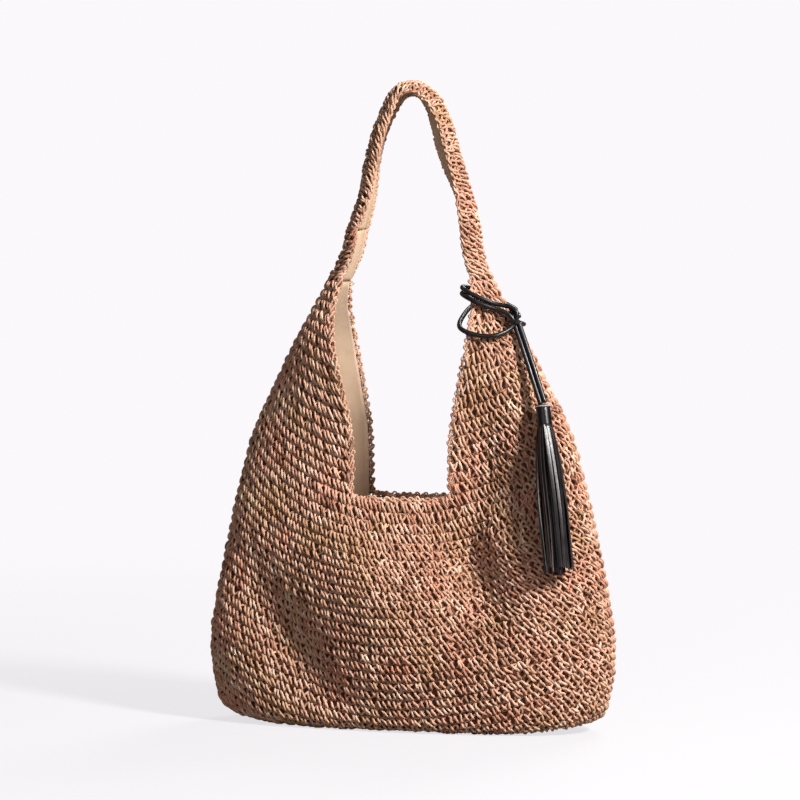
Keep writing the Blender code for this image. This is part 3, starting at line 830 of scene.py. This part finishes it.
def build_floor():
    """A pale floor that sweeps up all round into a plain backdrop."""
    flat, bend, top, turns = 4.0, 2.0, 6.0, 64
    profile = [(r, 0.0) for r in np.linspace(1.0, flat, 4)]
    profile += [(flat + bend * sin(t), bend * (1 - cos(t))) for t in np.linspace(0, pi / 2, 12)[1:]]
    rings = turned_points([*profile, (flat + bend, top)], turns) - np.array([0, 0, 0.0003])
    floor = grid_object("floor", rings, closed=True)
    with editing(floor.data) as bm:
        bm.verts.ensure_lookup_table()
        bm.faces.new(bm.verts[:turns])
    look = Look("pale floor")
    camera = look.node("ShaderNodeLightPath").outputs["Is Camera Ray"]
    where = look.node("ShaderNodeNewGeometry").outputs["Position"]
    reach = look.node("ShaderNodeVectorMath", where, operation="LENGTH").outputs["Value"]
    far = look.node("ShaderNodeMapRange", reach, 0.1, 2.2, 0.76, 1.0, interpolation_type="SMOOTHSTEP")
    look.set(Base_Color=look.mix(camera, (0.22, 0.21, 0.205), (0.62, 0.61, 0.625)), Roughness=0.9,
             Specular_IOR_Level=0.1)
    glow = look.node("ShaderNodeEmission", Color=(0.963, 0.94, 0.97, 1))
    blend = look.node("ShaderNodeMixShader", look.times(camera, far.outputs["Result"]),
                      look.shader.outputs[0], glow.outputs[0])
    look.feed(look.tree.nodes["Material Output"].inputs["Surface"], blend.outputs[0])
    floor.data.materials.append(look.material)


def build_stage():
    build_floor()
    world = bpy.data.worlds.new("world")
    world.use_nodes = True
    background = world.node_tree.nodes["Background"]
    background.inputs["Color"].default_value = (1.0, 0.985, 0.99, 1)
    background.inputs["Strength"].default_value = 0.18
    scene.world = world
    area_light("key", (2.2, -1.15, 1.95), (0, 0, 0.25), 0.5, 165, (1.0, 0.975, 0.95))
    area_light("front", (0.0, -2.7, 1.6), (0, 0, 0.3), 1.8, 10, (1.0, 0.98, 0.97))
    area_light("rim", (0.4, 2.2, 1.9), (0, 0, 0.3), 1.4, 55, (1.0, 0.99, 0.98))
    scene.view_settings.view_transform = "Standard"
    scene.view_settings.look = "None"


# ---- build


def build_wall():
    for piece in crochet_body() + crochet_base():
        dress(piece, "straw", "bag")
    dress(wall_sheet("crochet_inner_face", WALL_FACE_INSET, WALL_FACE), "shade", "bag", "crochet_body")
    lining = wall_sheet("lining_wall", LINING_INSET, LINING, low_run=0.01)
    dress(lining, "lining", "bag", "lining_body")
    dress(base_sheet("crochet_base_inner_face", 0.0, 0.0042, FACE), "shade", "bag", "crochet_base")
    lining = dress(base_sheet("lining_bottom", 0.0034, 0.006, LINING), "lining", "bag", "lining_base")


def base_sheet(name, inset, level, thickness):
    """An oval sheet just above the base, lifted at its ends as the base is."""
    rim = plain_skin(-inset, np.linspace(0, tau, 120, endpoint=False)) * np.array([1, 1, 0])
    rings = np.linspace(1.0, 0.02, 12)[:, None, None] * rim
    rings[..., 2] = level + end_lift(rings[..., 0], CORNER)
    sheet = grid_object(name, rings, closed=True)
    with editing(sheet.data) as bm:
        bmesh.ops.contextual_create(bm, geom=[e for e in bm.edges if e.is_boundary
                                              and e.calc_length() < 0.001])
    return thicken(sheet, thickness)


def mouth_rim(front):
    """Points on the mouth's edge, points just inside it and the wall's normals, from the right wing's top
    round the bottom to the left wing's top."""
    sign = -1 if front else 1
    heights = np.linspace(WING_TOP, MOUTH_BOTTOM, 120)
    side_run, right = run_of(heights), sign * mouth_angle(heights)
    corner = float(mouth_angle(MOUTH_BOTTOM))
    across = sign * np.linspace(corner, pi - corner, 60)[1:-1]
    bottom_run = np.full(len(across), run_of(MOUTH_BOTTOM))
    stretches = ((side_run, right, side_run, right * 0.93),
                 (bottom_run, across, bottom_run - 0.004, across),
                 (side_run[::-1], pi - right[::-1], side_run[::-1], pi - right[::-1] * 0.93))
    parts = [(skin(run, angle), skin(near_run, near_angle), normals(skin, run, angle))
             for run, angle, near_run, near_angle in stretches]
    edge, near, out = (np.concatenate(part) for part in zip(*parts))
    return edge, edge - smoothed(unit(edge - near), 7) * 0.004, out


def build_mouth_edging():
    for side, order in (("front", 1), ("back", -1)):
        cover = Crochet(EDGE)
        edge, near, out = (part[::order] for part in mouth_rim(side == "front"))
        edge_band(cover, edge, near, out, EDGE_STITCH)
        dress(edging(cover, f"mouth_edging_{side}"), "straw", "bag", f"edging_mouth_{side}")


def inner_sheet(name, points, outs, inset, thickness):
    """A sheet under a strap-like surface, with its faces outwards and its thickness inwards."""
    sheet = grid_object(name, points - outs * inset)
    face = sheet.data.polygons[len(sheet.data.polygons) // 2]
    if Vector(outs[len(outs) // 2, 0]).dot(face.normal) < 0:
        sheet.data.flip_normals()
    return thicken(sheet, thickness)


def build_strap():
    across = 41
    line, inward = strap_frame(260)
    strap = strap_surface(line, inward, across)
    outs = grid_normals(strap, np.broadcast_to(-inward[:, None], strap.shape))
    roots = []
    for name, side, end in (("right", 1, 0), ("left", -1, -1)):
        points = root_surface(side, strap[end], 40, across)
        root_outs = grid_normals(points, np.broadcast_to([side, 0.0, 0.0], points.shape))
        shared = unit(outs[end] + root_outs[-1])
        turn_last(root_outs, shared, 14)
        turn_last(outs[::-1] if side > 0 else outs, shared, 14)
        roots.append((name, points, root_outs))
    cover = Crochet()
    lengthwise(cover, strap, outs, 5)
    dress(cover.build("strap_rows", 900)[0], "straw", "strap")
    dress(inner_sheet("strap_inner_face", strap[::4], outs[::4], FACE_INSET, FACE),
          "shade", "strap", "crochet_strap")
    lining = inner_sheet("strap_lining", strap[::3], outs[::3], LINING_INSET, LINING)
    dress(lining, "lining", "strap", "lining_strap")
    for name, rim, near in (("front", 0, 2), ("back", -1, -3)):
        cover = Crochet(HEM)
        edge_band(cover, strap[:, rim], strap[:, near], outs[:, rim], HEM_STITCH, HEM_REACH)
        dress(edging(cover, f"strap_edging_{name}"), "straw", "strap", f"edging_strap_{name}")
    for root in roots:
        build_root(*root)


def turn_last(outs, target, rows):
    """Turns the last rows' normals smoothly towards the target row of normals."""
    share = np.linspace(0, 1, rows)[:, None, None]
    outs[-rows:] = unit(outs[-rows:] * (1 - share) + target * share)


def build_root(name, points, outs):
    """The soft crochet between a wing and the strap's end."""
    cover, rims = Crochet(), Crochet(HEM)
    lengthwise(cover, points, outs, 6)
    for rim, near in ((0, 2), (-1, -3)):
        edge_band(rims, points[:, rim], points[:, near], outs[:, rim], HEM_STITCH, HEM_REACH)
    yarn = cover.build(f"root_rows_{name}", 900)[0]
    hem = edging(rims, f"root_edging_{name}")
    face = inner_sheet(f"root_inner_face_{name}", points[::3], outs[::3], FACE_INSET, FACE)
    lining = inner_sheet(f"root_lining_{name}", points[::3], outs[::3], LINING_INSET, LINING)
    for sheet in (face, lining):
        apply_modifiers(sheet)
    for piece, look in ((yarn, "straw"), (hem, "straw"), (face, "shade"), (lining, "lining")):
        dress(piece, look)
        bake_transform(piece)
    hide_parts(f"strap_root_{name}")


# ---- thong and tassel


def leather_tube(name, points, radius, body, node=None, count=120):
    """A round thong through the points, and its line."""
    line = resample(spline_through(points, 600), np.linspace(0, 1, count))
    steps = unit(np.gradient(line, axis=0))
    up = np.zeros_like(line)
    up[0] = unit(np.cross(steps[0], [0.31, 0.77, 0.55]))
    for k in range(1, count):
        up[k] = unit(up[k - 1] - steps[k] * np.dot(up[k - 1], steps[k]))
    obj = tubes_object(name, line[None], up[None], np.full((1, count), radius), np.array([0.5]), 14)
    return dress(obj, "leather", body, node), line


def hitch_points(height, start):
    """A turn of the thong round the right wing, from the knot's front side to its back side."""

    def on_section(angle):
        """A point of the wing's section at this height, further out by the thong's outset."""
        half = np.array([at(HALF_WIDTH, z), at(HALF_DEPTH, z)]) + LOOP_OUTSET
        return half * power(np.array([cos(angle), sin(angle)]), BEND)

    last = float(mouth_angle(KNOT[2]))
    angles = [("outer", a) for a in np.linspace(-radians(start), -last, 7)]
    angles += [("inner", radians(a)) for a in np.linspace(-90, 90, 13)[1:-1]]
    angles += [("outer", a) for a in np.linspace(last, -radians(6), 9)]
    points = []
    for part, angle in angles:
        z = KNOT[2]
        for _ in range(3):
            side_x, _ = on_section(0)
            edge_x, edge_y = on_section(mouth_angle(z))
            if part == "outer":
                x, y = on_section(angle)
            else:
                x = edge_x - (edge_x - LOOP_INNER_X) * power(cos(angle), 0.5)
                y = edge_y * power(sin(angle), 0.5)
            z = height((side_x - x) / (side_x - LOOP_INNER_X), y / edge_y)
        points.append((x, y, z))
    return np.array(points)


def smooth_line(points, passes=3):
    """The same points, each drawn towards its neighbours; the ends stay."""
    for _ in range(passes):
        points[1:-1] = (points[:-2] + 2 * points[1:-1] + points[2:]) / 4
    return points


def tight_turn(level):
    """The height of a tight turn that rises inwards from this level."""
    return lambda inwards, back: level + 0.023 * inwards


def slack_turn(inwards, back):
    """The height of the thong's lowest turn, which sags over the wing's front."""
    sag = 0.0135 * sin(pi * min(max(inwards, 0), 1)) * (1 - back) / 2
    return 0.401 + (0.0105 + 0.013 * back) * inwards - sag


# The thong's turns: where each starts in degrees, its height, how far above the knot it comes back in
# behind, and how it leaves the knot in front, measured from the knot
TURNS = {
    "upper": (22, tight_turn(0.4155), 0.006,
              ((0.003, -0.0065, -0.008), (0.0075, -0.0065, -0.002), (0.0075, -0.0062, 0.006),
               (0.001, -0.0066, 0.0115))),
    "middle": (27, tight_turn(0.4096), 0.001,
               ((0.002, -0.0062, -0.008), (0.0032, -0.0078, -0.002), (-0.002, -0.008, 0.004))),
    "lower": (22, slack_turn, -0.005, ((0.004, -0.004, -0.006),)),
}


def build_thong():
    for name, (start, height, rise, way_out) in TURNS.items():
        way_in = KNOT + np.array([0.0015, 0, rise])
        line = smooth_line(np.array([*(KNOT + np.array(way_out)), *hitch_points(height, start), way_in]))
        leather_tube(f"thong_turn_{name}", line, CORD_RADIUS, "bag", f"thong_loop_{name}", 240)
    build_knot()
    run = CAP_TOP - KNOT
    across = unit(np.array([run[2], 0, -run[0]]))
    ends = np.array([KNOT + run * 0.1, KNOT + run * 0.5 + np.array([0.001, -0.002, 0]),
                     CAP_TOP + np.array([0, 0, 0.0016])])
    for name, side in (("left", 1), ("right", -1)):
        points = ends + across * side * CORD_RADIUS * 0.97
        piece, line = leather_tube(f"thong_run_{name}", points, CORD_RADIUS * 1.04, "thong",
                                   f"thong_strand_{name}", 60)


def build_knot():
    """Where the thong's ends are drawn tight: a turn and a half round the bundle."""
    axis = unit(CAP_TOP - KNOT)
    first = unit(np.cross(axis, [0, 1, 0]))
    second = np.cross(axis, first)
    t = np.linspace(0, 1, 90)[:, None]
    turn = t * tau * 1.4 + 0.6
    radius = 0.0044 * (1 - 0.5 * np.abs(2 * t - 1) ** 3)
    line = KNOT + axis * (t - 0.4) * 0.011 + (first * np.cos(turn) + second * np.sin(turn)) * radius
    leather_tube("thong_knot_turns", line, CORD_RADIUS * 0.92, "bag", "thong_knot", 140)
    core = [KNOT + axis * along for along in (-0.0075, 0.0, 0.0085)]
    leather_tube("thong_knot_core", core, 0.0032, "bag", count=20)


def tassel_place(points):
    """From the tassel's own space, hanging down from its cap's top, to the bag's."""
    return np.asarray(points, float) @ TASSEL_TURN.T + CAP_TOP


def turned_points(profile, steps):
    """Rings of points from a profile of (radius, z) turned round the Z axis."""
    turns = np.linspace(0, tau, steps, endpoint=False)
    return np.array([[(r * cos(t), r * sin(t), z) for t in turns] for r, z in profile])


def build_tassel():
    """The cap of wrapped leather, its thread, and the skirt of cut strips."""
    r, h = CAP_RADIUS, CAP_HEIGHT
    profile = [(0.0004, 0.0), (r - 0.0022, 0.0002), (r - 0.0008, -0.0004), (r - 0.0002, -0.0013),
               (r, -0.003), (r + 0.0002, -0.01), (r + 0.0004, -0.018), (r + 0.0006, -h + 0.001),
               (r + 0.0002, -h), (r - 0.003, -h), (0.0004, -h)]
    cap = grid_object("tassel_cap_leather", tassel_place(turned_points(profile, 48))[:, ::-1], closed=True)
    with editing(cap.data) as bm:
        bmesh.ops.holes_fill(bm, edges=[e for e in bm.edges if e.is_boundary])
        bmesh.ops.recalc_face_normals(bm, faces=bm.faces[:])
    cap.data.shade_smooth()
    dress(cap, "leather", "tassel", "tassel_cap")
    count, thread_r, ring_r = 160, 0.00042, r + 0.0009
    t = np.linspace(0, 1, count)
    turn = t * tau * 2.6
    line = tassel_place(np.stack([ring_r * np.cos(turn), ring_r * np.sin(turn), -0.0014 - 0.0014 * t], -1))
    ups = np.tile(TASSEL_TURN[:, 2], (count, 1))
    thread = tubes_object("tassel_thread_turns", line[None], ups[None], np.full((1, count), thread_r),
                          np.array([0.5]), 8)
    dress(thread, "thread", "tassel", "tassel_thread")
    build_skirt()


def skirt_strip(turn, top_r, low_r, steps=22):
    """Rings of points along one hanging strip, 8 to a ring."""
    t = np.linspace(0, 1, steps)
    length = SKIRT_HEIGHT * rng.uniform(0.955, 0.998)
    swell = 1 - np.exp(-t * 4.2)
    radius = top_r + (low_r - top_r) * swell + 0.0006 * np.sin(t * rng.uniform(4, 9) + rng.uniform(0, 6)) * t
    drift = turn + rng.normal(0, 0.14) * t + 0.05 * np.sin(t * 5 + turn)
    z = -CAP_HEIGHT + 0.0035 - (length + 0.0035) * t
    centre = np.stack([radius * np.cos(drift), radius * np.sin(drift), z], -1)
    roll = drift + pi / 2 + rng.normal(0, 0.25) + rng.normal(0, 0.5) * t
    side = np.stack([np.cos(roll), np.sin(roll), np.zeros(steps)], -1)
    ahead = unit(np.gradient(centre, axis=0))
    side = unit(side - ahead * (side * ahead).sum(1, keepdims=True))
    face = np.cross(ahead, side)
    half_width, half_thickness = 0.00155 * rng.uniform(0.85, 1.1), 0.00055
    outline = ((-1, -1), (-0.35, -1.15), (0.35, -1.15), (1, -1), (1, 1), (0.35, 1.15), (-0.35, 1.15), (-1, 1))
    return np.stack([centre + side * half_width * a + face * half_thickness * b for a, b in outline], 1)


def build_skirt():
    """Leather strips in three layers, flaring from the cap and hanging almost straight."""
    strips = []
    for layer, (count, top_r, low_r) in enumerate(SKIRT_LAYERS):
        for k in range(count):
            turn = tau * (k + 0.5 * layer) / count + rng.normal(0, 0.06)
            strips.append((turn, top_r, low_r * rng.uniform(0.86, 1.0)))
    rings = tassel_place([skirt_strip(*strip) for strip in strips])
    skirt = mesh_object("tassel_strips", rings.reshape(-1, 3), *tube_faces(*rings.shape[:3]))
    with editing(skirt.data) as bm:
        bmesh.ops.recalc_face_normals(bm, faces=bm.faces[:])
    skirt.data.set_sharp_from_angle(angle=radians(40))
    dress(skirt, "leather", "tassel", "tassel_skirt")


# ---- inside


def lining_depth(x, z):
    """The Y of the front lining's inner face, folds and all, at a place in the XZ plane."""
    share = np.clip(np.abs(x) / at(HALF_WIDTH, z), 0, 1)
    angle = -np.arccos(np.sign(x) * share ** (SQUARENESS / 2))
    return skin(run_of(z), angle, LINING_INSET + LINING + 0.0014)[..., 1]


def panel(name, centre, size, bulge=0.0, hem=0.0, cells=(40, 24), towards=-1):
    """A cloth panel in the XZ plane that swells a little towards the bag's middle, with a stitched hem."""
    gx, gz = np.meshgrid(np.linspace(-0.5, 0.5, cells[0]), np.linspace(-0.5, 0.5, cells[1]))
    swell = bulge * (1 - (2 * gx) ** 4) * (1 - (2 * gz) ** 4)
    hem_line = hem * np.exp(-(((0.5 - gz) * size[2] - 0.006) / 0.004) ** 2)
    x, y, z = centre[0] + gx * size[0], centre[1] + towards * (swell + hem_line), centre[2] + gz * size[2]
    if centre[1] < 0:
        y = np.maximum(y, lining_depth(x, z))
    obj = thicken(grid_object(name, np.stack([x, y, z], -1)), size[1])
    obj.modifiers["Thickness"].offset = 0
    bevel = obj.modifiers.new("Edges", "BEVEL")
    bevel.width = min(size[1] * 0.3, 0.0004)
    bevel.segments = 2
    return obj


def build_inside():
    pouch = dress(panel("inner_zip_pouch", POUCH_CENTRE, POUCH), "lining", "bag", "zip_pouch")
    pocket = panel("inner_slip_pocket", POCKET_CENTRE, POCKET, bulge=0.003, hem=0.0006, towards=1)
    dress(pocket, "lining", "bag", "slip_pocket")
    tab = ("cotton", "lining", (12, 12), (0.028, 0.026), "hung", "lining_wall")
    tape = ("woven", "tape", (40, 8), (ZIP_LENGTH, 0.011), "stretched", "inner_zip_pouch")
    panels = {"snap_tab_front": tab, "snap_tab_back": tab, "zip_tape_upper": tape, "zip_tape_lower": tape}
    for node, (suffix, look, cells, flat, held, under) in panels.items():
        low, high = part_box(node)
        piece = dress(panel(f"{node}_{suffix}", (low + high) / 2, high - low, cells=cells), look, "bag", node)
    build_zip_coil()
    for node in ("zip_slider", "zip_pull", "snap_stud", "snap_socket"):
        paint(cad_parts[node], "brass")


def build_zip_coil():
    """Interlocked coil teeth: two rows of small loops."""
    low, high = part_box("zip_coil")
    middle = (low + high) / 2
    count, points = 70, 12
    pitch = (high.x - low.x) / count
    t = np.linspace(0, tau, points + 1)[:-1]
    lines = []
    for k in range(count):
        sign = 1 if k % 2 else -1
        lines.append(np.stack([low.x + pitch * (k + 0.5) + 0.0006 * np.sin(t) * sign,
                               middle.y + 0.0006 * np.cos(t * 0.5),
                               middle.z + sign * (0.0002 + 0.0011 * np.cos(t))], -1))
    ups = np.broadcast_to([0.0, -1.0, 0.1], (count, points, 3))
    coil = tubes_object("zip_coil_teeth", np.array(lines), ups, np.full((count, points), 0.00034),
                        np.full(count, 0.5), 5)
    dress(coil, "brass", "bag", "zip_coil")


build_camera()
build_stage()
build_thong()
build_tassel()
build_wall()
build_mouth_edging()
build_strap()
build_inside()
